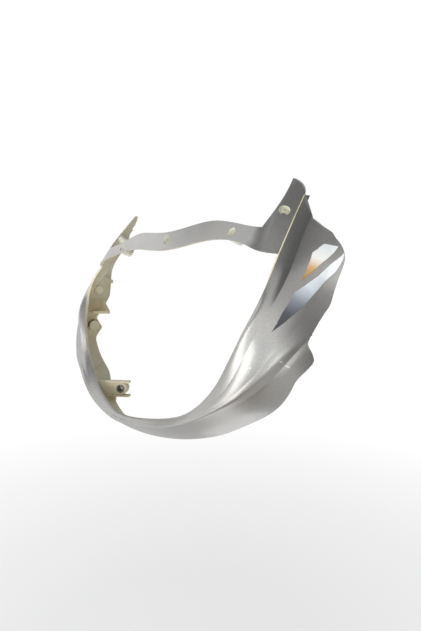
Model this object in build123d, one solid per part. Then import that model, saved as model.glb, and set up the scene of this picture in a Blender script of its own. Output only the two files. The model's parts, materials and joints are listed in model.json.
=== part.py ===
from build123d import *
import os
from dataclasses import astuple, dataclass, replace
from math import cos, radians, sin

# Headlight cowl of a light motorcycle: one thin injection moulding with moulded-in threaded
# bushes and two slipped-on spring clips. Millimetres. +X is the viewer's right from in front,
# -Y is the front, +Z is up. The moulding is drawn about the corner where the screen ridge meets
# the lamp opening, and is then moved so that the middle screen screw is the origin.

# Construction only: how many sections the lofts go through, how far cutters reach past the part,
# how far the trimming core reaches inward past every fitting, and how blunt a sharp corner's offset is
SECTION_COUNT = 37
CORE_COUNT = 19
CLEAR_OF_PART = 180.0
CORE_REACH = 18.0
MITRE_LIMIT = 0.9

# Walls
WALL = 2.6
BAND_WALL = 2.8
RIB_WALL = 2.6

# How far the skirt below the groove stands out from flat, with and without a groove above it
SKIRT_CROWN = 0.3
SKIRT_CROWN_PER_GROOVE = 1.2

# Rear trim line of the side panel, its mounting ear and the skirt, in the side view
STRIP_REAR = (31.0, 42.0)
PANEL_TOP = (29.8, 26.0)
PANEL_CORNER = (25.2, -1.5)
PANEL_WAIST = (19.6, -27.5)
NOTCH = (3.6, -48.8)
EAR = (10.0, -58.8)
SKIRT_TOP = (0.3, -68.5)
SKIRT_SIDE = (0.1, -98.0)
SKIRT_TURN = (-8.4, -111.6)
SKIRT_LOW = (-18.2, -120.4)
SKIRT_MID = (-24.5, -127.5)
REAR_ROUNDS = (6.0, 14.0, 10.0, 3.5, 2.6, 8.0, 12.0, 20.0, 20.0)

# Top trim line of the horn's outer strip and the side panel, in the front view
STRIP_TOP = (120.9, 24.0)
PANEL_TOP_LINE = [(130.4, 17.8), (139.6, 12.0), (146.8, 4.0), (151.0, -5.0)]
PANEL_TOP_HEADINGS = [(1, 0, -0.55), (0.35, 0, -1)]
INSIDE_HORN_X = 90.0

# Screen band and horns, in the front view
BAND_MID_TOP = 24.6
BAND_MID_LOW = 10.3
HUMP_X = 53.0
HUMP_TOP = 28.0
HUMP_LOW = 14.2
HORN_FOOT = (104.0, 18.4)
HORN_EDGE = (105.8, 35.0)
HORN_TIP = (103.3, 51.0)
HORN_SIDE = (108.2, 47.0)
HORN_END = (112.2, 39.0)
RIDGE_TIP = (113.6, 39.4)
BAND_LOW_END = (101.8, 6.3)
OPENING_CORNER = (119.6, 1.6)
PAST_RIDGE = 8.0
BAND_TOP_HEADING = (1, 0, -0.12)
BAND_LOW_HEADING = (-1, 0, 0.05)

# Lie of the band in plan: how far back it sits at BAND_LEVEL and how far it leans back per unit
# of height, at the middle and at the shoulder; then the bend of the horn at each level
BAND_LEVEL = 18.5
BAND_MID = (0.8, 0.32)
BAND_SHOULDER = (3.9, 0.5)
SHOULDER_X = 61.0
HORN_BENDS = [
    (-6.0, 108.0, -14.5),
    (10.5, 105.6, -2.7),
    (27.0, 104.0, 8.0),
    (43.5, 102.8, 21.2),
    (60.0, 101.2, 38.0),
]
HORN_BEND = 6.0
RIDGE_FOOT_X = 121.0
RIDGE_LEAN_IN = 0.19
RIDGE_LEAN_BACK = 0.76
RIDGE_RECESS = 1.6
RIDGE_INSET = 0.6
RIDGE_OVERLAP = 1.2
HORN_BACK_SHIFT = 0.6
MIDDLE_FLAT_SHARE = 0.4

# Screen screws: a wide mouth through the paint and a pilot hole in a boss behind it
SCREW_MOUTH = 7.0
SCREW_MOUTH_DEPTH = 4.6
SCREW_PILOT = 3.0
SCREW_BOSS = 10.4
SCREW_BOSS_END = 7.6
SCREW_BOSS_LENGTH = 9.0
SCREW_FLOOR = 1.4
MID_SCREW = (0.0, 19.0)
BAND_SCREW = (76.8, 17.8)
HORN_SCREW = (109.5, 28.9)

# Lamp fixing lug inside each lower corner, with a threaded metal bush moulded in
LUG_CENTRE = (57.6, -10.4, -106.0)
LUG_FACING = 45.0
LUG_WIDTH = 16.0
LUG_HEIGHT = 13.6
LUG_WALL = 4.0
LUG_RIM = 1.6
LUG_STEM = 12.0
WEB_DROP = 14.0
BUSH_DIAMETER = 7.4
BUSH_THREAD = 5.0
BUSH_LENGTH = 8.0
BUSH_BOSS = 11.2

# Inner fittings of the side panel
CLIP_BOSS = (-4.0, -56.0)
CLIP_BOSS_DIAMETER = 10.6
CLIP_BOSS_END_X = 124.0
CLIP_GROOVE = 0.6
CLIP_WIDTH = 1.2
CLIP_DEPTH = 1.3
CLIP_SEAT = 0.04
CLIP_ARC = 250.0
CLIP_START = -60.0
CLIP_FROM_END = 2.2
PEG = (1.0, -21.0)
PEG_DIAMETER = 7.6
PEG_END_X = 122.5

# Outlines of the ribs there, drawn past the skin and trimmed by it: in plan, or in the front view
# for the upright bracket. Then the place, lean or thickness of each
PAST_SKIN_X = 150.0
LONG_RIB = [(121.0, -2.0), (137.0, 22.5), (165.0, 22.5), (PAST_SKIN_X, -8.0)]
LONG_RIB_WALL = RIB_WALL + 0.6
LONG_RIB_CENTRE = (12.0, -10.2)
LONG_RIB_LEAN = 14.0
HOOK = [(139.0, 14.5), (141.5, 22.5), (165.0, 22.5), (160.0, 12.0)]
HOOK_WALL = 4.2
HOOK_CENTRE = (18.0, 1.6)
BRACKET_IN_X = 117.6
BRACKET_LOW = -44.2
BRACKET_WALL = 3.0
BRACKET_Y = 7.5
BRACKET = [
    (PAST_SKIN_X, -30.5),
    (130.0, -31.2),
    (BRACKET_IN_X, -41.6),
    (BRACKET_IN_X, BRACKET_LOW),
    (PAST_SKIN_X, BRACKET_LOW),
]
SHELF_REAR = 9.0
SHELF = [
    (PAST_SKIN_X, -6.0),
    (127.0, -4.0),
    (BRACKET_IN_X, 6.0),
    (BRACKET_IN_X, SHELF_REAR),
    (PAST_SKIN_X, SHELF_REAR),
]
SHELF_CENTRE = (0.0, -43.0)


@dataclass
class Station:
    """One cross-section of the skin, outward from a point on the edge of the lamp opening."""

    x: float
    y: float
    z: float
    turn: float
    crease: tuple
    crest: tuple
    rear: tuple
    bead: float
    crown: float
    crest_round: float
    groove_run: float
    groove_depth: float


# From the horn, down the side and round to the bottom centre. turn is how far the section leans
# from level to straight down. crease, crest and rear are outward and back from the opening edge.
STATIONS = [
    Station(113.5, 31.5, 41.5, 0, (5.0, 10.5), (26.5, 20.0), (31.0, 31.5), 0.3, 0.8, 6.0, 9.0, 0.0),
    Station(117.5, 14.0, 18.5, 0, (3.5, 9.5), (25.5, 21.5), (30.5, 33.0), 0.6, 1.2, 6.0, 9.0, 0.0),
    Station(121.0, -1.2, -2.0, 0, (4.0, 10.0), (26.5, 24.5), (31.0, 36.5), 1.2, 1.8, 6.0, 9.0, 0.0),
    Station(121.5, -11.0, -18.5, 0, (6.0, 7.0), (22.0, 31.0), (26.5, 44.5), 2.2, 2.2, 6.0, 9.0, 0.0),
    Station(115.5, -16.5, -35.0, 0, (10.5, 0.8), (24.0, 25.5), (28.0, 42.0), 3.4, 2.2, 6.0, 9.0, 0.0),
    Station(108.0, -21.0, -52.0, 4, (11.0, -1.2), (27.5, 9.0), (33.0, 32.0), 3.0, 2.0, 4.5, 9.0, 0.9),
    Station(99.5, -23.5, -67.5, 22, (11.0, -3.2), (21.7, -2.4), (32.7, 28.0), 1.6, 1.0, 3.2, 8.5, 1.2),
    Station(91.0, -24.5, -79.5, 42, (7.5, -4.8), (13.8, -6.5), (24.8, 28.8), 1.2, 0.6, 2.7, 5.5, 1.1),
    Station(69.0, -27.0, -97.0, 66, (3.3, -6.4), (6.4, -10.2), (19.5, 21.7), 0.8, 0.3, 2.4, 3.6, 0.9),
    Station(41.0, -32.5, -106.0, 79, (2.3, -5.3), (4.6, -9.0), (17.9, 18.4), 0.7, 0.2, 2.3, 3.3, 0.8),
    Station(0.0, -38.0, -110.5, 90, (2.1, -3.8), (4.1, -6.4), (17.5, 19.2), 0.7, 0.2, 2.3, 3.3, 0.8),
]


def unit(a, b):
    """Direction from a to b in a section's plane."""
    across = b[0] - a[0]
    back = b[1] - a[1]
    length = (across**2 + back**2) ** 0.5
    return (across / length, back / length)


def bulged(a, b, height):
    """Control point that makes a curve from a to b stand out by height."""
    step = unit(a, b)
    return ((a[0] + b[0]) / 2 + 2 * height * step[1], (a[1] + b[1]) / 2 - 2 * height * step[0])


def inset_corners(corners, depth):
    """The corners of an open outline, each moved inward by depth, and less at a very sharp one."""
    moved = []
    for index, corner in enumerate(corners):
        before = unit(corners[max(index - 1, 0)], corners[max(index, 1)])
        after = unit(corners[min(index, len(corners) - 2)], corners[min(index + 1, len(corners) - 1)])
        normal = (-before[1] - after[1], before[0] + after[0])
        scale = depth / max(1 + before[0] * after[0] + before[1] * after[1], MITRE_LIMIT)
        moved.append((corner[0] + scale * normal[0], corner[1] + scale * normal[1]))
    return moved


def skin_corners(station):
    """Corners of the painted side of the skin, from the opening edge to the rear."""
    run = unit(station.crest, station.rear)
    groove = (
        station.crest[0] + station.groove_run * run[0] - station.groove_depth * run[1],
        station.crest[1] + station.groove_run * run[1] + station.groove_depth * run[0],
    )
    return [(0.0, 0.0), station.crease, station.crest, groove, station.rear]


def placed(station, point):
    """A section's point in space."""
    lean = radians(station.turn)
    across = station.x + point[0] * cos(lean)
    return Vector(across, station.y + point[1], station.z - point[0] * sin(lean))


def mirrored(station):
    """The same station on the other side of the machine."""
    return replace(station, x=-station.x, turn=180 - station.turn)


def numbers(station):
    """A station's values as one flat list."""
    flat = []
    for value in astuple(station):
        flat.extend(value if isinstance(value, tuple) else [value])
    return flat


def from_numbers(flat):
    """A station from a flat list of its values."""
    pairs = [tuple(flat[start : start + 2]) for start in (4, 6, 8)]
    return Station(*flat[:4], *pairs, *flat[10:])


def slope(rows, marks, index, column):
    """Slope of one value along the opening edge at a station."""
    low = max(index - 1, 0)
    high = min(index + 1, len(rows) - 1)
    return (rows[high][column] - rows[low][column]) / (marks[high] - marks[low])


def faired_stations(stations, count):
    """Evenly spaced stations on smooth curves through the given ones."""
    rows = [numbers(station) for station in stations]
    marks = [0.0]
    for before, after in zip(rows, rows[1:]):
        step = sum((after[axis] - before[axis]) ** 2 for axis in range(3)) ** 0.5
        marks.append(marks[-1] + step)
    faired = []
    for number in range(count):
        mark = marks[-1] * number / (count - 1)
        index = min(sum(1 for other in marks[1:-1] if other <= mark), len(rows) - 2)
        span = marks[index + 1] - marks[index]
        share = (mark - marks[index]) / span
        flat = []
        for column in range(len(rows[0])):
            start = rows[index][column]
            end = rows[index + 1][column]
            leave = slope(rows, marks, index, column) * span
            arrive = slope(rows, marks, index + 1, column) * span
            curve = (2 * share**3 - 3 * share**2 + 1) * start + (3 * share**2 - 2 * share**3) * end
            curve += (share**3 - 2 * share**2 + share) * leave + (share**3 - share**2) * arrive
            flat.append(curve)
        faired.append(from_numbers(flat))
    return faired


def stepped(point, direction, distance):
    """A point moved along a direction in a section's plane."""
    return (point[0] + distance * direction[0], point[1] + distance * direction[1])


def skin_edges(station, depth):
    """Edges of the skin's section at a depth below the paint, and its two end points."""
    rim, crease, crest, groove, rear = inset_corners(skin_corners(station), depth)
    start, end = crest, crest
    if depth == 0:
        start = stepped(crest, unit(crest, crease), station.crest_round)
        end = stepped(crest, unit(crest, groove), station.crest_round)
    skirt_bulge = SKIRT_CROWN_PER_GROOVE * station.groove_depth + SKIRT_CROWN
    curves = [
        (rim, bulged(rim, crease, station.bead), crease),
        (crease, bulged(crease, start, station.crown), start),
        (start, crest, end),
        (end, groove),
        (groove, bulged(groove, rear, skirt_bulge), rear),
    ]
    edges = []
    for curve in curves:
        points = [placed(station, point) for point in curve]
        if len(points) == 2:
            edges.append(Line(*points))
        elif points[0] != points[2]:
            edges.append(Bezier(*points))
    return edges, placed(station, rim), placed(station, rear)


def skin_section(station):
    """Closed section of the skin, one wall thick."""
    outer, rim, rear = skin_edges(station, 0)
    inner, inner_rim, inner_rear = skin_edges(station, WALL)
    return Wire([*outer, Line(rear, inner_rear), *inner, Line(inner_rim, rim)])


def all_stations():
    """Stations from the right horn, round the bottom, to the left horn."""
    left = [mirrored(station) for station in reversed(STATIONS[:-1])]
    return faired_stations(STATIONS + left, SECTION_COUNT)


def skin():
    """The untrimmed skin, lofted through its sections."""
    return Solid.make_loft([skin_section(station) for station in all_stations()])


def core():
    """What lies inward of the middle of the right skin's wall, to trim the inner fittings with."""
    sections = []
    for station in faired_stations(STATIONS, CORE_COUNT):
        edges, rim, rear = skin_edges(station, WALL / 2)
        reach = placed(station, (-CORE_REACH, station.rear[1]))
        front = placed(station, (-CORE_REACH, 0.0))
        sections.append(Wire([*edges, Line(rear, reach), Line(reach, front), Line(front, rim)]))
    return Solid.make_loft(sections, ruled=True)


def rear_cutter():
    """Everything behind the rear trim line, drawn in the side view."""
    path = [STRIP_REAR, PANEL_TOP, PANEL_CORNER, PANEL_WAIST, NOTCH, EAR, SKIRT_TOP]
    path += [SKIRT_SIDE, SKIRT_TURN, SKIRT_LOW, SKIRT_MID]
    points = [(0, y, z) for y, z in path]
    trim = FilletPolyline(*points, radius=list(REAR_ROUNDS))
    low, high = (0, SKIRT_MID[0], -CLEAR_OF_PART), (0, CLEAR_OF_PART, STRIP_REAR[1])
    far = [points[-1], low, (0, CLEAR_OF_PART, -CLEAR_OF_PART), high, points[0]]
    face = Face(Wire([*trim.edges(), *Polyline(*far).edges()]))
    half = Solid.extrude(face, Vector(CLEAR_OF_PART, 0, 0))
    return half + half.mirror(Plane.YZ)


def top_cutter():
    """Everything above the horn's outer strip and the side panel, drawn in the front view."""
    start = (RIDGE_TIP[0], 0, RIDGE_TIP[1])
    strip = (STRIP_TOP[0], 0, STRIP_TOP[1])
    line = [strip, *[(x, 0, z) for x, z in PANEL_TOP_LINE]]
    last = line[-1]
    far = CLEAR_OF_PART
    above, inner = (INSIDE_HORN_X, 0, far), (INSIDE_HORN_X, 0, RIDGE_TIP[1])
    edges = [
        Line(start, strip),
        Spline(*line, tangents=PANEL_TOP_HEADINGS),
        Polyline(last, (far, 0, last[2]), (far, 0, far), above, inner, start),
    ]
    face = Face(Wire([edge for part in edges for edge in part.edges()]))
    right = Solid.extrude(face, Vector(0, 2 * far, 0)).moved(Location((0, -far, 0)))
    return right + right.mirror(Plane.YZ)


def band_section(bend, back):
    """Plan of the screen band and both horns at a level, from ridge to ridge."""
    level = bend[0]
    rise = level - BAND_LEVEL
    middle, shoulder = (spot[0] + spot[1] * rise for spot in (BAND_MID, BAND_SHOULDER))
    corner = Vector(bend[1], bend[2], level)
    ridge_x = RIDGE_FOOT_X - RIDGE_LEAN_IN * level - RIDGE_INSET
    ridge = Vector(ridge_x, RIDGE_LEAN_BACK * level + RIDGE_RECESS, level)
    if back:
        ridge += Vector(RIDGE_OVERLAP, BAND_WALL, 0)
        corner += Vector(-HORN_BACK_SHIFT, BAND_WALL, 0)
        middle, shoulder = middle + BAND_WALL, shoulder + BAND_WALL
    near = Vector(SHOULDER_X, shoulder, level)
    before = corner + (near - corner).normalized() * HORN_BEND
    after = corner + (ridge - corner).normalized() * HORN_BEND
    right = [
        Bezier((0, middle, level), (MIDDLE_FLAT_SHARE * SHOULDER_X, middle, level), near, before),
        Bezier(before, corner, after),
        Line(after, ridge),
    ]
    right = [edge.edge() for edge in right]
    return right + [edge.mirror(Plane.YZ) for edge in right], ridge


def band_sheet():
    """The raked sheet that the screen band and the horns are cut from."""
    sections = []
    for bend in HORN_BENDS:
        front, front_end = band_section(bend, False)
        rear, rear_end = band_section(bend, True)
        caps = [Line(front_end, rear_end), Line(flipped(front_end), flipped(rear_end))]
        sections.append(Wire([*front, *rear, *[cap.edge() for cap in caps]]))
    return Solid.make_loft(sections)


def flipped(point):
    """A point on the other side of the machine."""
    return Vector(-point.X, point.Y, point.Z)


def band_outline():
    """Outline of the band and both horns in the front view."""
    spots = [HORN_FOOT, HORN_EDGE, HORN_TIP, HORN_SIDE, HORN_END, OPENING_CORNER, BAND_LOW_END]
    foot, edge, tip, side, end, corner, low_end = ((x, 0, z) for x, z in spots)
    outer = [(spot[0] + PAST_RIDGE, 0, spot[2]) for spot in (end, corner)]
    top_ends, low_ends = [(1, 0, 0), BAND_TOP_HEADING], [BAND_LOW_HEADING, (-1, 0, 0)]
    top = Spline((0, 0, BAND_MID_TOP), (HUMP_X, 0, HUMP_TOP), foot, tangents=top_ends)
    low = Spline(corner, low_end, (HUMP_X, 0, HUMP_LOW), (0, 0, BAND_MID_LOW), tangents=low_ends)
    parts = [
        top,
        Spline(foot, edge, tip),
        Spline(tip, side, end),
        Polyline(end, *outer, corner),
        low,
    ]
    right = [edge for part in parts for edge in part.edges()]
    face = Face(Wire([*right, *[edge.mirror(Plane.YZ) for edge in right]]))
    return Solid.extrude(face, Vector(0, 2 * CLEAR_OF_PART, 0)).moved(Location((0, -CLEAR_OF_PART, 0)))


def screw_frames(sheet):
    """Where each screen screw enters the sheet, with the way its boss points."""
    frames = []
    for x, z in (MID_SCREW, BAND_SCREW, HORN_SCREW):
        hits = sheet.shells()[0].find_intersection_points(Axis((x, -CLEAR_OF_PART, z), (0, 1, 0)))
        point, normal = sorted(hits, key=lambda hit: hit[0].Y)[0]
        if normal.Y > 0:
            normal = normal * -1
        frames.append((point, normal * -1))
        if x > 0:
            frames.append((flipped(point), flipped(normal * -1)))
    return frames


def along(point, direction, radius, length, start=0.0):
    """A cylinder from a point along a direction."""
    plane = Plane(origin=point + direction * start, z_dir=direction)
    return Solid.make_cylinder(radius, length, plane)


def screw_boss(point, inward):
    """Tapered boss behind a screen screw."""
    plane = Plane(origin=point + inward * (BAND_WALL / 2), z_dir=inward)
    return Solid.make_cone(SCREW_BOSS / 2, SCREW_BOSS_END / 2, SCREW_BOSS_LENGTH, plane)


def screw_hole(point, inward):
    """Mouth and pilot hole of a screen screw."""
    mouth = along(point, inward, SCREW_MOUTH / 2, SCREW_MOUTH_DEPTH + 2, -2)
    depth = BAND_WALL / 2 + SCREW_BOSS_LENGTH - SCREW_FLOOR
    return mouth + along(point, inward, SCREW_PILOT / 2, depth)


def plate(points, thickness, centre, tilt=0.0):
    """A flat plate from an outline in plan, tilted nose up about its centre."""
    outline = Face(Wire(Polyline(*[(x, y, 0) for x, y in points], close=True).edges()))
    slab = Solid.extrude(outline, Vector(0, 0, thickness)).moved(Location((0, 0, -thickness / 2)))
    slab = slab.moved(Location((0, -centre[0], 0)))
    return slab.moved(Location((0, centre[0], centre[1]), (-tilt, 0, 0)))


def upright(points, thickness, y):
    """A plate across the machine, from an outline in the front view."""
    outline = Face(Wire(Polyline(*[(x, 0, z) for x, z in points], close=True).edges()))
    return Solid.extrude(outline, Vector(0, thickness, 0)).moved(Location((0, y - thickness / 2, 0)))


def panel_fittings():
    """Ribs, bracket, peg and clip boss on the inner side of the right panel."""
    inward = Vector(-1, 0, 0)
    long_rib = plate(LONG_RIB, LONG_RIB_WALL, LONG_RIB_CENTRE, LONG_RIB_LEAN)
    hook = plate(HOOK, HOOK_WALL, HOOK_CENTRE)
    bracket = upright(BRACKET, BRACKET_WALL, BRACKET_Y)
    shelf = plate(SHELF, RIB_WALL, SHELF_CENTRE)
    peg = along(Vector(PAST_SKIN_X, *PEG), inward, PEG_DIAMETER / 2, PAST_SKIN_X - PEG_END_X)
    boss_length = PAST_SKIN_X - CLIP_BOSS_END_X
    boss = along(Vector(PAST_SKIN_X, *CLIP_BOSS), inward, CLIP_BOSS_DIAMETER / 2, boss_length)
    return [long_rib, hook, bracket, shelf, peg, boss]


def clip_plane():
    """Plane of the spring clip, its arc starting low at the back and running over the top."""
    lean = radians(CLIP_START)
    origin = (CLIP_BOSS_END_X + CLIP_FROM_END, *CLIP_BOSS)
    return Plane(origin=origin, x_dir=(0, cos(lean), sin(lean)), z_dir=(1, 0, 0))


def ring(inner, outer, width, arc):
    """A flat ring about the clip boss, centred on the clip's plane."""
    plane = clip_plane().offset(-width / 2)
    whole = Solid.make_cylinder(outer, width, plane, angle=arc)
    return whole - Solid.make_cylinder(inner, width, plane)


def clip():
    """Open retaining clip, seated in the boss's groove with a little play."""
    inner = CLIP_BOSS_DIAMETER / 2 - CLIP_GROOVE + CLIP_SEAT
    return ring(inner, inner + CLIP_DEPTH, CLIP_WIDTH, CLIP_ARC)


def clip_groove():
    """Square groove for the clip."""
    radius = CLIP_BOSS_DIAMETER / 2
    return ring(radius - CLIP_GROOVE, radius + CLIP_DEPTH, CLIP_WIDTH + 2 * CLIP_SEAT, 360)


def lug_axes():
    """The lug's centre, the way it faces, and the way its stem runs to the skin."""
    lean = radians(LUG_FACING)
    return Vector(*LUG_CENTRE), Vector(-sin(lean), -cos(lean), 0), Vector(cos(lean), -sin(lean), 0)


def lug_block(across, up, deep):
    """A box in the lug's own axes, each pair giving its low and high side."""
    centre, facing, width = lug_axes()
    plane = Plane(origin=centre, x_dir=width, z_dir=facing)
    size = (across[1] - across[0], up[1] - up[0], deep[1] - deep[0])
    middle = ((across[0] + across[1]) / 2, (up[0] + up[1]) / 2, (deep[0] + deep[1]) / 2)
    box = Solid.make_box(*size).moved(Location((-size[0] / 2, -size[1] / 2, -size[2] / 2)))
    return plane.location * (Location(middle) * box)


def lug():
    """The lamp fixing lug, its rims, its bush boss and the web under it."""
    half = LUG_WIDTH / 2
    rise = LUG_HEIGHT / 2
    centre, facing, _ = lug_axes()
    return [
        lug_block((-half, half + LUG_STEM), (-rise, rise), (-LUG_WALL, 0)),
        lug_block((half - 3, half + LUG_STEM), (-rise - WEB_DROP, -rise + 1), (-LUG_WALL, RIB_WALL - LUG_WALL)),
        lug_block((-half, half), (rise - LUG_RIM, rise), (-LUG_WALL, LUG_RIM)),
        lug_block((-half, half), (-rise, LUG_RIM - rise), (-LUG_WALL, LUG_RIM)),
        along(centre, facing * -1, BUSH_BOSS / 2, BUSH_LENGTH),
    ]


def bush():
    """Threaded metal bush, flush with the lug's face."""
    centre, facing, _ = lug_axes()
    body = along(centre, facing * -1, BUSH_DIAMETER / 2, BUSH_LENGTH)
    return body - along(centre, facing * -1, BUSH_THREAD / 2, BUSH_LENGTH + 2, -1)


def fused(shapes):
    """All the shapes joined into one solid."""
    return shapes[0].fuse(*shapes[1:])


def cowl_shell(screws):
    """The moulding in its drawing position."""
    body = skin() - rear_cutter() - top_cutter()
    trimmer = core()
    stem, web, *others = lug()
    fittings = [fitting & trimmer for fitting in [*panel_fittings(), stem, web]] + others
    fittings += [fitting.mirror(Plane.YZ) for fitting in fittings]
    bosses = [screw_boss(*frame) for frame in screws]
    whole = fused([body, band_sheet() & band_outline(), *bosses, *fittings])
    centre, facing, _ = lug_axes()
    hole = along(centre, facing * -1, BUSH_DIAMETER / 2, BUSH_LENGTH + 2, -1)
    groove = clip_groove()
    holes = [screw_hole(*frame) for frame in screws]
    holes += [hole, hole.mirror(Plane.YZ), groove, groove.mirror(Plane.YZ)]
    return whole.cut(*holes)


def pieces():
    """Every piece by name, with the middle screen screw's mouth at the origin."""
    screws = screw_frames(band_sheet())
    right = {"bush": bush(), "clip": clip()}
    named = {"cowl_shell": cowl_shell(screws)}
    for name, piece in right.items():
        named[name + "_right"] = piece
        named[name + "_left"] = piece.mirror(Plane.YZ)
    shift = Location(screws[0][0] * -1)
    return {name: piece.moved(shift) for name, piece in named.items()}


os.makedirs("parts", exist_ok=True)
for name, piece in pieces().items():
    export_step(piece, f"parts/{name}.step")
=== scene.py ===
"""Looks of a motorbike headlight cowl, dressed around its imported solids.

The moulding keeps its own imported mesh, and each of its surfaces is painted silver-grey or left as
bare cream plastic. Printed stripe films lie on both side panels. All sizes are in metres, in the
part's own frame: +X to the viewer's right from in front, -Y to the front, +Z up.
"""

from __future__ import annotations

import json
import logging
import math
from dataclasses import dataclass, field
from enum import Enum

import bpy
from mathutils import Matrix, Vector
from mathutils.bvhtree import BVHTree
from mathutils.kdtree import KDTree

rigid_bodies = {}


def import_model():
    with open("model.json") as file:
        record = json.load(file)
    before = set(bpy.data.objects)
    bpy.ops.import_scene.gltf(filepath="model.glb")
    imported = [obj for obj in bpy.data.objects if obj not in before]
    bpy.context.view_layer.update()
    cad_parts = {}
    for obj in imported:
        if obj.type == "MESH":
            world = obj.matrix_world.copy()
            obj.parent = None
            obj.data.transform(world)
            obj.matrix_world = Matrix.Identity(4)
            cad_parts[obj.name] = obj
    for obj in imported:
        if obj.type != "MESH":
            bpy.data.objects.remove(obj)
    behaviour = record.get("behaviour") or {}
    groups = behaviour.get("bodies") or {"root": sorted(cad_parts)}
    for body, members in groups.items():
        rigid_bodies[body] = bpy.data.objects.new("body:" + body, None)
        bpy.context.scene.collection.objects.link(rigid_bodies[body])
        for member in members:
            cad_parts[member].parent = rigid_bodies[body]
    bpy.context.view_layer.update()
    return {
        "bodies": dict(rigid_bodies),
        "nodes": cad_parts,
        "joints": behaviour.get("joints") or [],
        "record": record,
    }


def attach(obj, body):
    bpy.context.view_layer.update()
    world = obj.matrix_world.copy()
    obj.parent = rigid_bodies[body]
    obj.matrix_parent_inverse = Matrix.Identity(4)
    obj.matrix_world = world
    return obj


LOG = logging.getLogger("cowl")
MILLIMETRE = 0.001
SMOOTH_ANGLE = math.radians(40)
LEAST_ROUGHNESS = 0.02
RAMP_MIDDLE = 0.5

# Places of a Mix node's colour sockets in its lists of inputs and outputs
MIX_FACTOR = 0
MIX_FIRST = 6
MIX_SECOND = 7
MIX_RESULT = 2

Colour = tuple[float, float, float]
WHITE: Colour = (1.0, 1.0, 1.0)


class Side(Enum):
    """Side of the machine, as the sign of X."""

    RIGHT = 1
    LEFT = -1


class Skin(Enum):
    """Finish of a face of the moulding, as its material slot."""

    PAINTED = 0
    BARE = 1
    SEAT = 2


def opaque(colour: Colour) -> tuple[float, float, float, float]:
    """Returns a colour with full alpha."""
    return (*colour, 1.0)


def clear_selection() -> None:
    """Deselects every object."""
    bpy.ops.object.select_all(action="DESELECT")


@dataclass(frozen=True)
class NodeSheet:
    """A node tree with short ways to add and join nodes."""

    tree: bpy.types.NodeTree

    def add(self, kind: str, **settings: object) -> bpy.types.Node:
        """Adds a node.

        Args:
            kind: The node's type name.
            **settings: Attributes set on the node, and sockets' values by name.

        Returns:
            The new node.
        """
        node = self.tree.nodes.new(kind)
        for name, value in settings.items():
            if hasattr(node, name):
                setattr(node, name, value)
            else:
                node.inputs[name.replace("_", " ")].default_value = value
        return node

    def join(self, start: bpy.types.NodeSocket, end: bpy.types.NodeSocket) -> None:
        """Joins two sockets."""
        self.tree.links.new(start, end)

    def object_point(self) -> bpy.types.NodeSocket:
        """Returns the socket of the point in the part's own frame."""
        return self.add("ShaderNodeTexCoord").outputs["Object"]

    def ramp(
        self,
        value: bpy.types.NodeSocket,
        stops: tuple[tuple[float, Colour], ...],
    ) -> bpy.types.NodeSocket:
        """Colours a value by a ramp.

        Args:
            value: The socket that drives the ramp.
            stops: Places from 0 to 1 with their colours.

        Returns:
            The ramp's colour socket.
        """
        node = self.add("ShaderNodeValToRGB")
        elements = node.color_ramp.elements
        while len(elements) < len(stops):
            elements.new(RAMP_MIDDLE)
        for element, (place, colour) in zip(elements, stops):
            element.position = place
            element.color = opaque(colour)
        self.join(value, node.inputs["Fac"])
        return node.outputs["Color"]

    def backdrop_rays(self) -> bpy.types.NodeSocket:
        """Picks out the rays that see the backdrop directly, in gloss or through glass.

        Returns:
            A socket that is 1 for those rays and 0 for any other.
        """
        path = self.add("ShaderNodeLightPath")
        picked = path.outputs["Is Camera Ray"]
        for kind in ("Is Glossy Ray", "Is Transmission Ray"):
            either = self.add("ShaderNodeMath", operation="MAXIMUM")
            self.join(picked, either.inputs[0])
            self.join(path.outputs[kind], either.inputs[1])
            picked = either.outputs["Value"]
        return picked

    def mix_shaders(
        self,
        share: bpy.types.NodeSocket,
        first: bpy.types.NodeSocket,
        second: bpy.types.NodeSocket,
        entry: bpy.types.NodeSocket,
    ) -> None:
        """Mixes two shaders into an output.

        Args:
            share: How much of the second one is used.
            first: The first shader.
            second: The second shader.
            entry: The output's socket.
        """
        mix = self.add("ShaderNodeMixShader")
        self.join(share, mix.inputs["Fac"])
        self.join(first, mix.inputs[1])
        self.join(second, mix.inputs[2])
        self.join(mix.outputs["Shader"], entry)


def moulded_surface_group() -> bpy.types.NodeTree:
    """Builds the shared effect of a moulded or coated surface.

    Returns:
        A node group that gives a soft mottle, fine specks and a height for bump.
    """
    tree = bpy.data.node_groups.new("MouldedSurface", "ShaderNodeTree")
    face = tree.interface
    face.new_socket("Point", in_out="INPUT", socket_type="NodeSocketVector")
    sizes = {"Mottle Scale": 30.0, "Speck Scale": 1500.0, "Ripple Scale": 350.0}
    for name, value in sizes.items():
        socket = face.new_socket(name, in_out="INPUT", socket_type="NodeSocketFloat")
        socket.default_value = value
    for name in ("Mottle", "Specks", "Height"):
        face.new_socket(name, in_out="OUTPUT", socket_type="NodeSocketFloat")
    sheet = NodeSheet(tree)
    entry = sheet.add("NodeGroupInput")
    leave = sheet.add("NodeGroupOutput")
    details = {
        "Mottle": ("Mottle Scale", 3.0),
        "Specks": ("Speck Scale", 1.0),
        "Height": ("Ripple Scale", 2.0),
    }
    for output, (scale, detail) in details.items():
        noise = sheet.add("ShaderNodeTexNoise", Detail=detail)
        sheet.join(entry.outputs["Point"], noise.inputs["Vector"])
        sheet.join(entry.outputs[scale], noise.inputs["Scale"])
        sheet.join(noise.outputs["Fac"], leave.inputs[output])
    return tree


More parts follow.
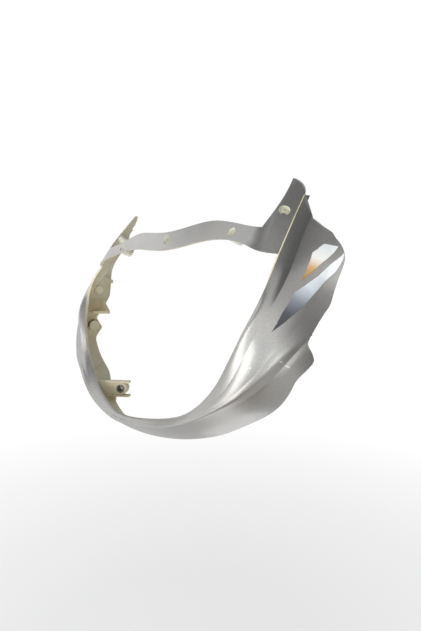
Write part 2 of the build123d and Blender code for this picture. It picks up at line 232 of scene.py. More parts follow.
@dataclass(frozen=True)
class LightMark:
    """A small light mark laid in the paint, full in its middle and fading out; the streaks made with it
    are painted highlights.
    """

    middle: Vector
    turn: Vector
    size: Vector
    full_share: float = 0.4

    def mask(self, sheet: NodeSheet, point: bpy.types.NodeSocket) -> bpy.types.NodeSocket:
        """Builds the streak's mask.

        Args:
            sheet: The material's nodes.
            point: The point in the part's frame.

        Returns:
            A socket that is 1 in the streak and 0 away from it.
        """
        place = sheet.add("ShaderNodeMapping", vector_type="TEXTURE")
        place.inputs["Location"].default_value = self.middle
        place.inputs["Rotation"].default_value = self.turn
        place.inputs["Scale"].default_value = self.size
        sheet.join(point, place.inputs["Vector"])
        reach = sheet.add("ShaderNodeVectorMath", operation="LENGTH")
        sheet.join(place.outputs["Vector"], reach.inputs[0])
        fade = sheet.add("ShaderNodeMapRange", From_Min=self.full_share, To_Min=1.0, To_Max=0.0)
        sheet.join(reach.outputs["Value"], fade.inputs["Value"])
        return fade.outputs["Result"]


@dataclass(frozen=True)
class SurfaceFinish:
    """A finish with a mottled colour, fine specks, a slight ripple and a few light marks, painted
    highlights among them.
    """

    name: str
    light: Colour
    dark: Colour
    speck: Colour
    speck_share: float = 0.2
    speck_span: tuple[float, float] = (0.45, 0.75)
    mottle_span: tuple[float, float] = (0.3, 0.7)
    metallic: float = 0.0
    roughness: float = 0.5
    roughness_spread: float = 0.1
    coat: float = 0.0
    coat_roughness: float = 0.1
    mottle_scale: float = 30.0
    speck_scale: float = 1500.0
    ripple_scale: float = 350.0
    ripple: float = 0.05
    ripple_depth: float = 0.0002
    # Light marks laid over the colour; on the paint they are painted highlight streaks and one light
    # dot
    light_marks: tuple[LightMark, ...] = ()
    light_mark_tone: Colour = (0.75, 0.74, 0.70)
    light_mark_share: float = 0.7

    def over(
        self,
        sheet: NodeSheet,
        share: bpy.types.NodeSocket,
        base: bpy.types.NodeSocket,
        tone: Colour,
    ) -> bpy.types.NodeSocket:
        """Lays one tone over a colour by a mask.

        Args:
            sheet: The material's nodes.
            share: The mask.
            base: The colour below.
            tone: The tone on top.

        Returns:
            The socket of the mixed colour.
        """
        mix = sheet.add("ShaderNodeMix", data_type="RGBA")
        sheet.join(share, mix.inputs[MIX_FACTOR])
        sheet.join(base, mix.inputs[MIX_FIRST])
        mix.inputs[MIX_SECOND].default_value = opaque(tone)
        return mix.outputs[MIX_RESULT]

    def colour(
        self,
        sheet: NodeSheet,
        effect: bpy.types.Node,
        point: bpy.types.NodeSocket,
    ) -> bpy.types.NodeSocket:
        """Mixes the mottled colour with its specks and its light marks, painted highlights among them.

        Args:
            sheet: The material's nodes.
            effect: The shared surface group's node.
            point: The point in the part's frame.

        Returns:
            The socket of the finished colour.
        """
        darkest, lightest = self.mottle_span
        base = sheet.ramp(effect.outputs["Mottle"], ((darkest, self.dark), (lightest, self.light)))
        low, high = self.speck_span
        flakes = sheet.add("ShaderNodeMapRange", From_Min=low, From_Max=high, To_Max=self.speck_share)
        sheet.join(effect.outputs["Specks"], flakes.inputs["Value"])
        colour = self.over(sheet, flakes.outputs["Result"], base, self.speck)
        # Lays each light mark's pale tone over the colour: painted highlights, and one light dot
        for light_mark in self.light_marks:
            share = sheet.add("ShaderNodeMath", operation="MULTIPLY")
            sheet.join(light_mark.mask(sheet, point), share.inputs[0])
            share.inputs[1].default_value = self.light_mark_share
            colour = self.over(sheet, share.outputs["Value"], colour, self.light_mark_tone)
        return colour

    def build(self, group: bpy.types.NodeTree) -> bpy.types.Material:
        """Builds the material.

        Args:
            group: The shared surface effect.

        Returns:
            The material.
        """
        material = bpy.data.materials.new(self.name)
        material.use_nodes = True
        sheet = NodeSheet(material.node_tree)
        shader = material.node_tree.nodes["Principled BSDF"]
        effect = sheet.add("ShaderNodeGroup", node_tree=group)
        effect.inputs["Mottle Scale"].default_value = self.mottle_scale
        effect.inputs["Speck Scale"].default_value = self.speck_scale
        effect.inputs["Ripple Scale"].default_value = self.ripple_scale
        point = sheet.object_point()
        sheet.join(point, effect.inputs["Point"])
        sheet.join(self.colour(sheet, effect, point), shader.inputs["Base Color"])
        low = max(self.roughness - self.roughness_spread, LEAST_ROUGHNESS)
        high = self.roughness + self.roughness_spread
        spread = sheet.add("ShaderNodeMapRange", To_Min=low, To_Max=high)
        sheet.join(effect.outputs["Mottle"], spread.inputs["Value"])
        sheet.join(spread.outputs["Result"], shader.inputs["Roughness"])
        bump = sheet.add("ShaderNodeBump", Strength=self.ripple, Distance=self.ripple_depth)
        sheet.join(effect.outputs["Height"], bump.inputs["Height"])
        sheet.join(bump.outputs["Normal"], shader.inputs["Normal"])
        shader.inputs["Metallic"].default_value = self.metallic
        shader.inputs["Coat Weight"].default_value = self.coat
        shader.inputs["Coat Roughness"].default_value = self.coat_roughness
        return material


@dataclass(frozen=True)
class StripeFinish:
    """A printed film that fades along its length and shows a fine printing grain."""

    name: str
    low_end: Vector
    high_end: Vector
    stops: tuple[tuple[float, Colour], ...]
    grain: float = 0.03
    grain_scale: float = 1800.0
    roughness: float = 0.3
    coat: float = 0.3

    def build(self) -> bpy.types.Material:
        """Builds the film's material.

        Returns:
            The material.
        """
        material = bpy.data.materials.new(self.name)
        material.use_nodes = True
        sheet = NodeSheet(material.node_tree)
        shader = material.node_tree.nodes["Principled BSDF"]
        reach = self.high_end - self.low_end
        point = sheet.object_point()
        offset = sheet.add("ShaderNodeVectorMath", operation="SUBTRACT")
        sheet.join(point, offset.inputs[0])
        offset.inputs[1].default_value = self.low_end
        along = sheet.add("ShaderNodeVectorMath", operation="DOT_PRODUCT")
        sheet.join(offset.outputs["Vector"], along.inputs[0])
        along.inputs[1].default_value = reach / reach.length_squared
        noise = sheet.add("ShaderNodeTexNoise", Scale=self.grain_scale, Detail=1.0)
        sheet.join(point, noise.inputs["Vector"])
        jitter = sheet.add("ShaderNodeMapRange", To_Min=-self.grain, To_Max=self.grain)
        sheet.join(noise.outputs["Fac"], jitter.inputs["Value"])
        place = sheet.add("ShaderNodeMath", operation="ADD", use_clamp=True)
        sheet.join(along.outputs["Value"], place.inputs[0])
        sheet.join(jitter.outputs["Result"], place.inputs[1])
        sheet.join(sheet.ramp(place.outputs["Value"], self.stops), shader.inputs["Base Color"])
        shader.inputs["Roughness"].default_value = self.roughness
        shader.inputs["Coat Weight"].default_value = self.coat
        return material


@dataclass(frozen=True)
class Screw:
    """A screen screw's mouth and the way it faces, on the right side or in the middle."""

    mouth: Vector
    facing: Vector

    def mirrored(self) -> Screw:
        """Returns the same screw on the left side."""
        flip = Vector((-1, 1, 1))
        return Screw(self.mouth * flip, self.facing * flip)

    def holds(self, point: Vector, reach: float, least_depth: float) -> bool:
        """Tells whether a point is in the screw's mouth or on its boss.

        Args:
            point: A point in the part's frame.
            reach: The boss's radius with a little room.
            least_depth: How far behind the mouth the bare plastic starts.

        Returns:
            True if it is.
        """
        offset = point - self.mouth
        depth = -offset.dot(self.facing)
        aside = (offset + self.facing * depth).length
        return aside < reach and depth > least_depth


@dataclass
class CowlShell:
    """The moulding itself, painted outside and bare inside."""

    paint: bpy.types.Material
    plastic: bpy.types.Material
    seat_plastic: bpy.types.Material
    screws: list[Screw]
    node: str = "cowl_shell"
    screw_reach: float = 0.0056
    screw_skin: float = 0.0002
    behind: Vector = field(default_factory=lambda: Vector((0.0, 0.060, -0.060)))
    painted_from: float = 0.12
    painted_forward: float = -0.15
    ray_start: float = 0.0004
    ray_length: float = 0.045
    fair_reach: float = 0.012
    fair_turn: float = math.cos(math.radians(26))
    fair_height: float = -0.012
    sliver_area: float = 4e-6
    free_turn: float = -1.0
    place_digits: int = 5
    normal_digits: int = 2
    own_weight: float = 1e-7

    def finish_of(self, centre: Vector, normal: Vector, tree: BVHTree) -> Skin:
        """Decides the finish of one face.

        Args:
            centre: The face's middle.
            normal: The way it faces.
            tree: The moulding's faces, to see what is in front of it.

        Returns:
            Painted for a face on the outside, seat for a screw's mouth, bare for any other.
        """
        outward = normal.dot((centre - self.behind).normalized()) > self.painted_from
        if any(screw.holds(centre, self.screw_reach, self.screw_skin) for screw in self.screws):
            return Skin.SEAT
        if not outward and normal.y > self.painted_forward:
            return Skin.BARE
        spray = (normal, (centre - self.behind).normalized())
        start = centre + normal * self.ray_start
        masked = any(tree.ray_cast(start, way, self.ray_length)[0] is not None for way in spray)
        return Skin.BARE if masked else Skin.PAINTED

    def leader_of(self, leader: list[int], vertex: int) -> int:
        """Finds the vertex that stands for a vertex's surface, and shortens the way to it.

        Args:
            leader: The next vertex on the way, by vertex.
            vertex: The vertex.

        Returns:
            The vertex that leads its surface.
        """
        while leader[vertex] != vertex:
            leader[vertex] = leader[leader[vertex]]
            vertex = leader[vertex]
        return vertex

    def patches(self, mesh: bpy.types.Mesh) -> list[list[bpy.types.MeshPolygon]]:
        """Sorts the faces by the smooth surface that they belong to.

        Args:
            mesh: The moulding's mesh, whose surfaces share no vertex with each other.

        Returns:
            The faces of each surface.
        """
        leader = list(range(len(mesh.vertices)))
        for edge in mesh.edges:
            first, second = edge.vertices
            leader[self.leader_of(leader, first)] = self.leader_of(leader, second)
        groups: dict[int, list[bpy.types.MeshPolygon]] = {}
        for face in mesh.polygons:
            groups.setdefault(self.leader_of(leader, face.vertices[0]), []).append(face)
        return list(groups.values())

    def fair(self, mesh: bpy.types.Mesh, slivers: set[int]) -> None:
        """Evens the shading normals of the painted panels, which stay sharp at every crease.

        Args:
            mesh: The moulding's mesh, with its finishes given.
            slivers: Faces of surfaces too small to shade by themselves.
        """
        painted = [face for face in mesh.polygons if face.material_index == Skin.PAINTED.value]
        finder = KDTree(len(painted))
        for number, face in enumerate(painted):
            finder.insert(face.center, number)
        finder.balance()
        normals = [Vector(corner.vector) for corner in mesh.corner_normals]
        own = {face.index: self.face_normal(face, normals) for face in painted}
        evened: dict[tuple[float, ...], Vector] = {}
        for face in painted:
            for loop in face.loop_indices:
                point = mesh.vertices[mesh.loops[loop].vertex_index].co
                if point.z > self.fair_height:
                    continue
                place = tuple(round(value, self.place_digits) for value in point)
                key = (*place, *(round(value, self.normal_digits) for value in normals[loop]))
                if key not in evened:
                    turn = self.free_turn if face.index in slivers else self.fair_turn
                    evened[key] = self.evened_normal(point, normals[loop], turn, painted, own, finder)
                normals[loop] = evened[key]
        mesh.normals_split_custom_set(normals)

    def face_normal(self, face: bpy.types.MeshPolygon, normals: list[Vector]) -> Vector:
        """Returns the mean of a face's corner normals."""
        return sum((normals[loop] for loop in face.loop_indices), Vector()).normalized()

    def evened_normal(
        self,
        point: Vector,
        normal: Vector,
        turn: float,
        painted: list[bpy.types.MeshPolygon],
        own: dict[int, Vector],
        finder: KDTree,
    ) -> Vector:
        """Averages the normals round a point that turn little from its own.

        Args:
            point: The corner's place.
            normal: The corner's own normal.
            turn: The least cosine between it and a normal that counts.
            painted: The painted faces.
            own: Their mean normals, by face index.
            finder: The painted faces' centres.

        Returns:
            The evened normal.
        """
        total = normal * self.own_weight
        for _, number, distance in finder.find_range(point, self.fair_reach):
            face = painted[number]
            other = own[face.index]
            if other.dot(normal) > turn:
                total += other * (face.area * (1.0 - distance / self.fair_reach))
        return total.normalized()

    def dress(self, frame: dict) -> bpy.types.Object:
        """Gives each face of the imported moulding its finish.


        Returns:
            The dressed moulding.
        """
        shell = frame["nodes"][self.node]
        mesh = shell.data
        mesh.materials.clear()
        for material in (self.paint, self.plastic, self.seat_plastic):
            mesh.materials.append(material)
        corners = [vertex.co.copy() for vertex in mesh.vertices]
        tree = BVHTree.FromPolygons(corners, [tuple(face.vertices) for face in mesh.polygons])
        slivers: set[int] = set()
        for patch in self.patches(mesh):
            votes = dict.fromkeys(Skin, 0.0)
            for face in patch:
                votes[self.finish_of(face.center.copy(), face.normal.copy(), tree)] += face.area
            finish = max(votes, key=votes.get)
            for face in patch:
                face.material_index = finish.value
            if sum(face.area for face in patch) < self.sliver_area:
                slivers.update(face.index for face in patch)
        self.fair(mesh, slivers)
        return shell


@dataclass
class StripeFilm:
    """A printed film on a side panel, cut to its outline as seen from the side."""

    name: str
    outlines: list[list[tuple[float, float]]]
    finish: bpy.types.Material
    away: float = 0.200
    widest: float = 0.150
    grid_pitch: float = 0.0012
    lift: float = 0.00012
    thickness: float = 0.0001
    weld_share: float = 0.25

    def blank(self, outline: list[tuple[float, float]], side: Side) -> bpy.types.Object:
        """Cuts one flat convex piece of film beside the panel.

        Args:
            outline: Its corners as (y, z) in millimetres, in order.
            side: The side of the machine.

        Returns:
            The flat piece.
        """
        beside = side.value * self.away
        corners = [Vector((beside, y * MILLIMETRE, z * MILLIMETRE)) for y, z in outline]
        middle = sum(corners, Vector()) / len(corners)
        reach = max((corner - middle).length for corner in corners)
        steps = int(2 * reach / self.grid_pitch)
        clear_selection()
        bpy.ops.mesh.primitive_grid_add(
            x_subdivisions=steps,
            y_subdivisions=steps,
            size=2 * reach,
            location=middle,
            rotation=(0, math.pi / 2, 0),
        )
        piece = bpy.context.active_object
        bpy.ops.object.transform_apply(location=True, rotation=True, scale=True)
        bpy.ops.object.mode_set(mode="EDIT")
        for start, end in zip(corners, corners[1:] + corners[:1]):
            outward = (end - start).cross(Vector((1, 0, 0))).normalized()
            if outward.dot(middle - start) > 0:
                outward.negate()
            bpy.ops.mesh.select_all(action="SELECT")
            bpy.ops.mesh.bisect(plane_co=start, plane_no=outward, clear_outer=True)
        bpy.ops.object.mode_set(mode="OBJECT")
        return piece

    def cut(self, side: Side) -> bpy.types.Object:
        """Cuts the whole flat film from its convex pieces.

        Args:
            side: The side of the machine.

        Returns:
            The flat film, still beside the panel.
        """
        blanks = [self.blank(outline, side) for outline in self.outlines]
        clear_selection()
        for blank in blanks:
            blank.select_set(True)
        film = blanks[0]
        bpy.context.view_layer.objects.active = film
        if len(blanks) > 1:
            bpy.ops.object.join()
        film.name = f"{self.name}_{side.name.lower()}"
        bpy.ops.object.mode_set(mode="EDIT")
        bpy.ops.mesh.select_all(action="SELECT")
        bpy.ops.mesh.remove_doubles(threshold=self.grid_pitch * self.weld_share)
        bpy.ops.object.mode_set(mode="OBJECT")
        return film

    def lay_on(self, film: bpy.types.Object, shell: bpy.types.Object, side: Side) -> None:
        """Lays the active film on the panel and cuts off what missed it.

        Args:
            film: The flat film.
            shell: The moulding that carries it.
            side: The side of the machine.
        """
        wrap = film.modifiers.new("lay_on", "SHRINKWRAP")
        wrap.target = shell
        wrap.wrap_method = "PROJECT"
        wrap.use_project_x = True
        wrap.use_negative_direction = True
        wrap.use_positive_direction = True
        wrap.offset = self.lift
        wrap.wrap_mode = "OUTSIDE_SURFACE"
        bpy.ops.object.modifier_apply(modifier=wrap.name)
        bpy.ops.object.mode_set(mode="EDIT")
        outward = Vector((side.value, 0.0, 0.0))
        bpy.ops.mesh.select_all(action="SELECT")
        bpy.ops.mesh.bisect(plane_co=outward * self.widest, plane_no=outward, clear_outer=True)
        bpy.ops.mesh.select_all(action="SELECT")
        bpy.ops.mesh.normals_make_consistent(inside=False)
        bpy.ops.object.mode_set(mode="OBJECT")

    def thicken(self, film: bpy.types.Object, side: Side) -> None:
        """Turns the active film's face outwards and gives it its thickness.

        Args:
            film: The film on the panel.
            side: The side of the machine.
        """
        outward = sum(face.normal.x * face.area for face in film.data.polygons) * side.value
        if outward < 0:
            film.data.flip_normals()
        wall = film.modifiers.new("film", "SOLIDIFY")
        wall.thickness = self.thickness
        wall.offset = 1.0
        bpy.ops.object.modifier_apply(modifier=wall.name)
        bpy.ops.object.shade_smooth_by_angle(angle=SMOOTH_ANGLE)

    def build(self, shell: bpy.types.Object, side: Side) -> bpy.types.Object:
        """Makes the film and dresses it.

        Args:
            shell: The moulding that carries it.
            side: The side of the machine.

        Returns:
            The film.
        """
        film = self.cut(side)
        self.lay_on(film, shell, side)
        self.thicken(film, side)
        film.data.materials.clear()
        film.data.materials.append(self.finish)
        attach(film, "root")
        return film


@dataclass
class SmallMetal:
    """The threaded bushes and the retaining clips, which keep their own solids."""

    nodes: list[str]
    slot: str
    finish: bpy.types.Material

    def dress(self, frame: dict) -> None:
        """Gives the pieces their metal.
        """
        for name in self.nodes:
            piece = frame["nodes"][name]
            piece.data.materials.clear()
            piece.data.materials.append(self.finish)
            LOG.info("dressed %s", name)


@dataclass
class EjectorPips:
    """The two small domes that the ejector pins leave low on the inside."""

    finish: bpy.types.Material
    places: tuple[tuple[float, float, float], ...] = (
        (-0.1020, -0.0126, -0.1111),
        (-0.1072, -0.0068, -0.1105),
    )
    facing: Vector = field(default_factory=lambda: Vector((0.49, 0.36, 0.79)))
    radius: float = 0.0011
    rise: float = 0.6
    sunk: float = 0.25
    rings: int = 12

    def build(self, place: Vector, number: int) -> bpy.types.Object:
        """Models one dome, sunk a little into the inner face.

        Args:
            place: Its middle on the inner face.
            number: Its number, for its name.

        Returns:
            The dome.
        """
        clear_selection()
        turn = self.facing.to_track_quat("Z", "Y").to_euler()
        bpy.ops.mesh.primitive_uv_sphere_add(
            segments=2 * self.rings,
            ring_count=self.rings,
            radius=self.radius,
            location=place,
            rotation=turn,
        )
        pip = bpy.context.active_object
        pip.name = f"ejector_pip_{number}"
        pip.scale = (1.0, 1.0, self.rise)
        bpy.ops.object.transform_apply(location=True, rotation=True, scale=True)
        way = self.facing.normalized()
        bpy.ops.object.mode_set(mode="EDIT")
        bpy.ops.mesh.select_all(action="SELECT")
        seat = place - way * self.radius * self.sunk
        bpy.ops.mesh.bisect(plane_co=seat, plane_no=-way, clear_outer=True, use_fill=True)
        bpy.ops.object.mode_set(mode="OBJECT")
        bpy.ops.object.shade_smooth_by_angle(angle=SMOOTH_ANGLE)
        pip.data.materials.append(self.finish)
        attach(pip, "root")
        return pip


@dataclass
class BushFloor:
    """The closed end of a threaded bush, turned with a centre dimple."""

    finish: bpy.types.Material
    middle: Vector = field(default_factory=lambda: Vector((0.0604284, -0.0085316, -0.125)))
    axis: Vector = field(default_factory=lambda: Vector((0.707107, 0.707107, 0.0)))
    bush_length: float = 0.008
    radius: float = 0.00252
    thickness: float = 0.0012
    dimple: float = 0.0012
    dimple_depth: float = 0.0005
    sides: int = 48

    def build(self, side: Side) -> bpy.types.Object:
        """Turns the floor and seats it in the inner end of the bore.

        Args:
            side: The side of the machine.

        Returns:
            The floor.
        """
        flip = Vector((side.value, 1, 1))
        inward = (self.axis * flip).normalized()
        place = self.middle * flip + inward * (self.bush_length - self.thickness) / 2
        clear_selection()
        bpy.ops.mesh.primitive_cylinder_add(
            vertices=self.sides,
            radius=self.radius,
            depth=self.thickness,
            location=place,
            rotation=(-inward).to_track_quat("Z", "Y").to_euler(),
        )
        floor = bpy.context.active_object
        floor.name = f"bush_floor_{side.name.lower()}"
        bpy.ops.object.transform_apply(location=True, rotation=True, scale=True)
        bpy.ops.object.mode_set(mode="EDIT")
        bpy.ops.mesh.select_mode(type="FACE")
        bpy.ops.mesh.select_all(action="DESELECT")
        bpy.ops.object.mode_set(mode="OBJECT")
        mouth = min(floor.data.polygons, key=lambda face: face.center.dot(inward))
        mouth.select = True
        bpy.ops.object.mode_set(mode="EDIT")
        bpy.ops.mesh.inset(thickness=self.radius - self.dimple)
        bpy.ops.mesh.inset(thickness=self.dimple / 2, depth=-self.dimple_depth)
        bpy.ops.mesh.select_all(action="SELECT")
        bpy.ops.mesh.normals_make_consistent(inside=False)
        bpy.ops.object.mode_set(mode="OBJECT")
        bpy.ops.object.shade_smooth_by_angle(angle=SMOOTH_ANGLE)
        floor.data.materials.append(self.finish)
        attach(floor, "root")
        return floor


@dataclass(frozen=True)
class CardFinish:
    """The matt finish of a card."""

    name: str
    colour: Colour
    roughness: float = 0.9

    def build(self) -> bpy.types.Material:
        """Builds the card's material.

        Returns:
            The material.
        """
        material = bpy.data.materials.new(self.name)
        material.use_nodes = True
        shader = material.node_tree.nodes["Principled BSDF"]
        shader.inputs["Base Color"].default_value = opaque(self.colour)
        shader.inputs["Roughness"].default_value = self.roughness
        return material


@dataclass(frozen=True)
class Card:
    """A card, hidden from the camera, that gives the paint something dark or warm to reflect."""

    name: str
    middle: Vector
    facing: Vector
    width: float
    height: float
    gloss_only: bool = False

    def hang(self, finish: bpy.types.Material) -> None:
        """Hangs the card.

        Args:
            finish: The card's material.
        """
        clear_selection()
        turn = self.facing.to_track_quat("Z", "Y").to_euler()
        bpy.ops.mesh.primitive_plane_add(size=1.0, location=self.middle, rotation=turn)
        card = bpy.context.active_object
        card.name = self.name
        card.scale = (self.width, self.height, 1.0)
        card.data.materials.append(finish)
        card.visible_camera = False
        card.visible_diffuse = not self.gloss_only
        card.visible_shadow = not self.gloss_only


@dataclass(frozen=True)
class Lamp:
    """A soft square lamp, hidden from the camera, with its power in watts."""

    name: str
    offset: Vector
    power: float
    size: float

    def hang(self, centre: Vector) -> None:
        """Hangs the lamp so that it faces the part.

        Args:
            centre: The part's middle, which the lamp's offset starts from.
        """
        clear_selection()
        bpy.ops.object.light_add(type="AREA", location=centre + self.offset)
        lamp = bpy.context.active_object
        lamp.name = self.name
        lamp.data.energy = self.power
        lamp.data.size = self.size
        lamp.rotation_euler = (-self.offset).to_track_quat("-Z", "Y").to_euler()
        lamp.visible_camera = False


@dataclass
class Studio:
    """Pale floor, white surround, soft lamps, cards and the camera."""

    centre: Vector = field(default_factory=lambda: Vector((0.0, 0.0, -0.060)))
    floor_height: float = -0.330
    floor_size: float = 12.0
    floor_tone: Colour = (0.93, 0.93, 0.93)
    floor_roughness: float = 0.9
    shadow_core: float = 0.1
    shadow_reach: float = 0.6
    shadow_lift: float = 0.6
    surround: float = 0.40
    surround_tone: Colour = (0.96, 0.98, 1.0)
    lens: float = 26.81
    camera_place: Vector = field(default_factory=lambda: Vector((0.3104, -0.19376, -0.0352)))
    camera_tilt: float = 86.3
    camera_turn: float = 52.65

    def white_to_view(
        self,
        tree: bpy.types.NodeTree,
        lit: bpy.types.NodeSocket,
        entry: bpy.types.NodeSocket,
    ) -> None:
        """Makes the surround plain white to the camera, in gloss and through glass.

        Args:
            tree: The world's node tree.
            lit: The shader that lights the object.
            entry: The output's socket.
        """
        sheet = NodeSheet(tree)
        white = sheet.add("ShaderNodeBackground", Strength=1.0)
        white.inputs["Color"].default_value = opaque(WHITE)
        sheet.mix_shaders(sheet.backdrop_rays(), lit, white.outputs["Background"], entry)

    def light_world(self) -> None:
        """Sets the surround, dimmer as a light than as a background."""
        world = bpy.data.worlds.new("surround")
        world.use_nodes = True
        bpy.context.scene.world = world
        background = world.node_tree.nodes["Background"]
        background.inputs["Color"].default_value = opaque(self.surround_tone)
        background.inputs["Strength"].default_value = self.surround
        entry = world.node_tree.nodes["World Output"].inputs["Surface"]
        self.white_to_view(world.node_tree, background.outputs["Background"], entry)

    def paper(self) -> bpy.types.Material:
        """Builds the floor's paper, which keeps the shadow below the part and turns white away from it.

        Returns:
            The material.
        """
        material = bpy.data.materials.new("pale_paper")
        material.use_nodes = True
        sheet = NodeSheet(material.node_tree)
        shader = material.node_tree.nodes["Principled BSDF"]
        shader.inputs["Base Color"].default_value = opaque(self.floor_tone)
        shader.inputs["Roughness"].default_value = self.floor_roughness
        distance = sheet.add("ShaderNodeVectorMath", operation="LENGTH")
        sheet.join(sheet.object_point(), distance.inputs[0])
        far = sheet.add(
            "ShaderNodeMapRange",
            From_Min=self.shadow_core,
            From_Max=self.shadow_reach,
            To_Min=self.shadow_lift,
        )
        sheet.join(distance.outputs["Value"], far.inputs["Value"])
        lift = sheet.add("ShaderNodeMath", operation="MULTIPLY")
        sheet.join(sheet.backdrop_rays(), lift.inputs[0])
        sheet.join(far.outputs["Result"], lift.inputs[1])
        white = sheet.add("ShaderNodeEmission", Strength=1.0)
        entry = material.node_tree.nodes["Material Output"].inputs["Surface"]
        share = lift.outputs["Value"]
        sheet.mix_shaders(share, shader.outputs["BSDF"], white.outputs["Emission"], entry)
        return material

    def lay_floor(self) -> None:
        """Lays a pale paper floor below the part."""
        clear_selection()
        bpy.ops.mesh.primitive_plane_add(size=self.floor_size, location=(0, 0, self.floor_height))
        floor = bpy.context.active_object
        floor.name = "paper_floor"
        floor.data.materials.append(self.paper())

    def hang_cards(self) -> None:
        """Hangs black cards round the part and a warm one below its right front."""
        black = CardFinish("flag_black", (0.02, 0.02, 0.02)).build()
        cards = [
            Card("flag_right", Vector((0.50, 0.46, 0.02)), Vector((-1, -0.35, 0)), 1.0, 1.2),
            Card("flag_above", Vector((0.62, 0.12, 0.50)), Vector((-0.4, 0, -1)), 0.6, 0.9),
            Card("flag_low", Vector((0.48, 0.26, -0.27)), Vector((-0.5, -0.3, 0.8)), 0.45, 0.5),
            Card("flag_front", Vector((-0.35, -0.70, 0.52)), Vector((0.35, 0.70, -0.58)), 1.0, 0.42),
            Card("flag_top", Vector((-0.05, -0.16, 0.50)), Vector((0, 0, -1)), 0.42, 0.42),
        ]
        for card in cards:
            card.hang(black)
        tan = CardFinish("card_tan", (0.62, 0.40, 0.22)).build()
        place, facing = Vector((0.19, -0.15, -0.28)), Vector((-0.2, 0.1, 1))
        Card("card_warm", place, facing, 0.26, 0.26, gloss_only=True).hang(tan)

    def hang_lamps(self) -> None:
        """Hangs the lamps, the main one level in front and the others to the sides and below."""
        lamps = [
            Lamp("key_softbox", Vector((-0.20, -1.20, 0.04)), 12.0, 0.9),
            Lamp("fill_softbox", Vector((0.75, -0.80, 0.10)), 2.5, 1.0),
            Lamp("side_softbox", Vector((-1.02, -0.38, 0.52)), 1.4, 0.8),
            Lamp("near_softbox", Vector((0.56, -0.20, -0.12)), 0.7, 0.32),
            Lamp("glint_card", Vector((0.02, 0.07, -0.235)), 0.035, 0.09),
        ]
        for lamp in lamps:
            lamp.hang(self.centre)

    def place_camera(self) -> None:
        """Places the camera at the photograph's viewpoint."""
        clear_selection()
        turn = (math.radians(self.camera_tilt), 0.0, math.radians(self.camera_turn))
        bpy.ops.object.camera_add(location=self.camera_place, rotation=turn)
        camera = bpy.context.active_object
        camera.data.lens = self.lens
        bpy.context.scene.camera = camera

    def build(self) -> None:
        """Sets up the floor, the surround, the cards, the lamps and the camera."""
        self.light_world()
        self.lay_floor()
        self.hang_cards()
        self.hang_lamps()
        self.place_camera()
        bpy.context.scene.view_settings.view_transform = "Standard"


def screen_screws() -> list[Screw]:
    """Lists the screen screws.

    Returns:
        The middle screw and two on each side.
    """
    middle = Screw(Vector((0.0, 0.0, 0.0)), Vector((0.0, -0.95242, 0.30478)))
    band = Screw(Vector((0.0768, 0.00155, -0.0012)), Vector((0.00041, -0.87872, 0.47733)))
    horn = Screw(Vector((0.1095, 0.01565, 0.0099)), Vector((0.6878, -0.53536, 0.49021)))
    return [middle, band, band.mirrored(), horn, horn.mirrored()]


def highlight_streaks_and_dot() -> tuple[LightMark, ...]:
    """Lists the light marks in the paint of the right side, mostly painted highlights.

    Returns:
        Two painted highlight streaks across the crest and one light dot by the opening.
    """
    across_crest = Vector((0.0, 0.4, 1.2))
    by_opening = Vector((0.3, 0.0, 0.9))
    return (
        LightMark(Vector((0.1342, -0.0116, -0.0765)), across_crest, Vector((0.0022, 0.0007, 0.0006))),
        LightMark(Vector((0.1347, -0.0066, -0.0796)), across_crest, Vector((0.0024, 0.0008, 0.0006))),
        LightMark(Vector((0.1230, -0.0235, -0.0800)), by_opening, Vector((0.0009, 0.0009, 0.0005))),
    )


def silver_paint() -> SurfaceFinish:
    """Describes the metallic lacquer of the outside.

    Returns:
        The finish.
    """
    return SurfaceFinish(
        name="silver_lacquer",
        light=(0.338, 0.326, 0.313),
        dark=(0.276, 0.278, 0.270),
        speck=(0.64, 0.64, 0.62),
        speck_share=0.3,
        metallic=0.68,
        roughness=0.40,
        roughness_spread=0.05,
        coat=0.25,
        coat_roughness=0.18,
        mottle_scale=24.0,
        speck_scale=2600.0,
        ripple_scale=260.0,
        ripple=0.06,
        # Painted highlight streaks and a light dot, laid as pale marks in the lacquer
        light_marks=highlight_streaks_and_dot(),
    )


def bare_plastic() -> SurfaceFinish:
    """Describes the unpainted moulding of the inside.

    Returns:
        The finish.
    """
    return SurfaceFinish(
        name="cream_plastic",
        light=(0.85, 0.79, 0.59),
        dark=(0.72, 0.65, 0.45),
        speck=(0.50, 0.45, 0.33),
        speck_share=0.12,
        roughness=0.48,
        roughness_spread=0.08,
        mottle_scale=45.0,
        speck_scale=900.0,
        ripple_scale=500.0,
        ripple=0.03,
    )


def clean_plastic() -> SurfaceFinish:
    """Describes the masked plastic of the screws' mouths, cleaner than the inside.

    Returns:
        The finish.
    """
    return SurfaceFinish(
        name="clean_cream_plastic",
        light=(0.84, 0.83, 0.72),
        dark=(0.78, 0.76, 0.64),
        speck=(0.60, 0.56, 0.45),
        speck_share=0.1,
        roughness=0.4,
        mottle_scale=300.0,
        speck_scale=1200.0,
        ripple_scale=900.0,
    )


def plated_steel() -> SurfaceFinish:
    """Describes the dull plating of the threaded bushes.

    Returns:
        The finish.
    """
    return SurfaceFinish(
        name="plated_steel",
        light=(0.40, 0.38, 0.35),
        dark=(0.24, 0.23, 0.22),
        speck=(0.12, 0.11, 0.10),
        metallic=1.0,
        roughness=0.38,
        mottle_scale=400.0,
        speck_scale=3000.0,
        ripple_scale=900.0,
    )


def spring_steel() -> SurfaceFinish:
    """Describes the black oxide of the retaining clips.

    Returns:
        The finish.
    """
    return SurfaceFinish(
        name="black_oxide",
        light=(0.035, 0.034, 0.034),
        dark=(0.018, 0.018, 0.019),
        speck=(0.08, 0.07, 0.06),
        metallic=0.7,
        roughness=0.45,
        mottle_scale=500.0,
        speck_scale=3500.0,
    )


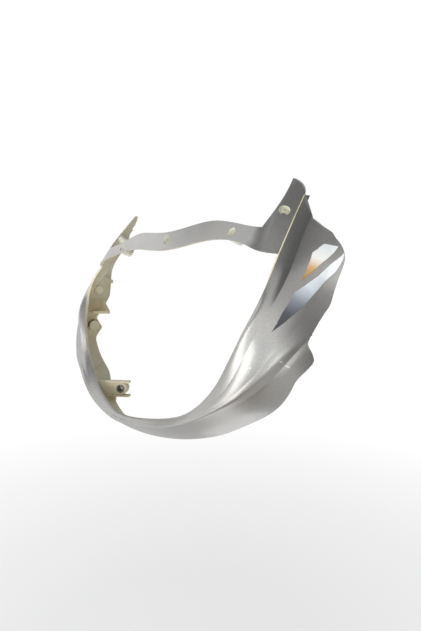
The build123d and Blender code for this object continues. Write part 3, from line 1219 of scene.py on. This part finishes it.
def stripe_films() -> list[StripeFilm]:
    """Describes the two stripes of a side panel, outlined by (y, z) corners in millimetres.

    Returns:
        The upper stripe in one convex piece, and the lower in three.
    """
    amber = StripeFinish(
        name="amber_stripe_film",
        low_end=Vector((0.0, 0.0052, -0.0315)),
        high_end=Vector((0.0, 0.0222, -0.0125)),
        stops=(
            (0.0, (0.42, 0.23, 0.06)),
            (0.3, (0.66, 0.41, 0.16)),
            (0.55, (0.95, 0.94, 0.90)),
            (1.0, (0.90, 0.95, 0.97)),
        ),
    )
    blade = StripeFinish(
        name="blade_stripe_film",
        low_end=Vector((0.0, -0.0145, -0.0600)),
        high_end=Vector((0.0, 0.0235, -0.0200)),
        stops=(
            (0.0, (0.012, 0.012, 0.014)),
            (0.22, (0.06, 0.065, 0.08)),
            (0.38, (0.26, 0.29, 0.33)),
            (0.58, (0.80, 0.87, 0.92)),
            (1.0, (0.96, 0.97, 0.97)),
        ),
    )
    upper = [(3.6, -33.2), (14.1, -16.8), (20.1, -11.9), (24.1, -13.6), (20.9, -17.4)]
    tail = [(-14.7, -60.4), (-8.9, -50.6), (-0.6, -39.0), (2.3, -37.1), (2.7, -46.6)]
    waist = [(2.3, -37.1), (12.0, -30.0), (12.9, -36.0), (2.7, -46.6)]
    head = [
        (12.0, -30.0),
        (24.6, -17.3),
        (24.1, -19.2),
        (22.5, -22.5),
        (20.4, -27.3),
        (12.9, -36.0),
    ]
    return [
        StripeFilm("stripe_upper", [upper], amber.build()),
        StripeFilm("stripe_lower", [tail, waist, head], blade.build()),
    ]


def main() -> None:
    """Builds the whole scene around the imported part."""
    logging.basicConfig(level=logging.INFO, format="%(name)s: %(message)s")
    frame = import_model()
    surface = moulded_surface_group()
    paint = silver_paint().build(surface)
    plastic = bare_plastic().build(surface)
    seat_plastic = clean_plastic().build(surface)
    shell = CowlShell(paint, plastic, seat_plastic, screen_screws()).dress(frame)
    LOG.info("dressed %s, %d faces", shell.name, len(shell.data.polygons))
    for stripe in stripe_films():
        for side in Side:
            film = stripe.build(shell, side)
            LOG.info("laid %s, %d faces", film.name, len(film.data.polygons))
    pips = EjectorPips(plastic)
    for number, place in enumerate(pips.places, 1):
        LOG.info("raised %s", pips.build(Vector(place), number).name)
    plating = plated_steel().build(surface)
    SmallMetal(["bush_left", "bush_right"], "bush_metal", plating).dress(frame)
    for side in Side:
        LOG.info("turned %s", BushFloor(plating).build(side).name)
    clip_black = spring_steel().build(surface)
    SmallMetal(["clip_left", "clip_right"], "clip_steel", clip_black).dress(frame)
    Studio().build()


if __name__ == "__main__":
    main()
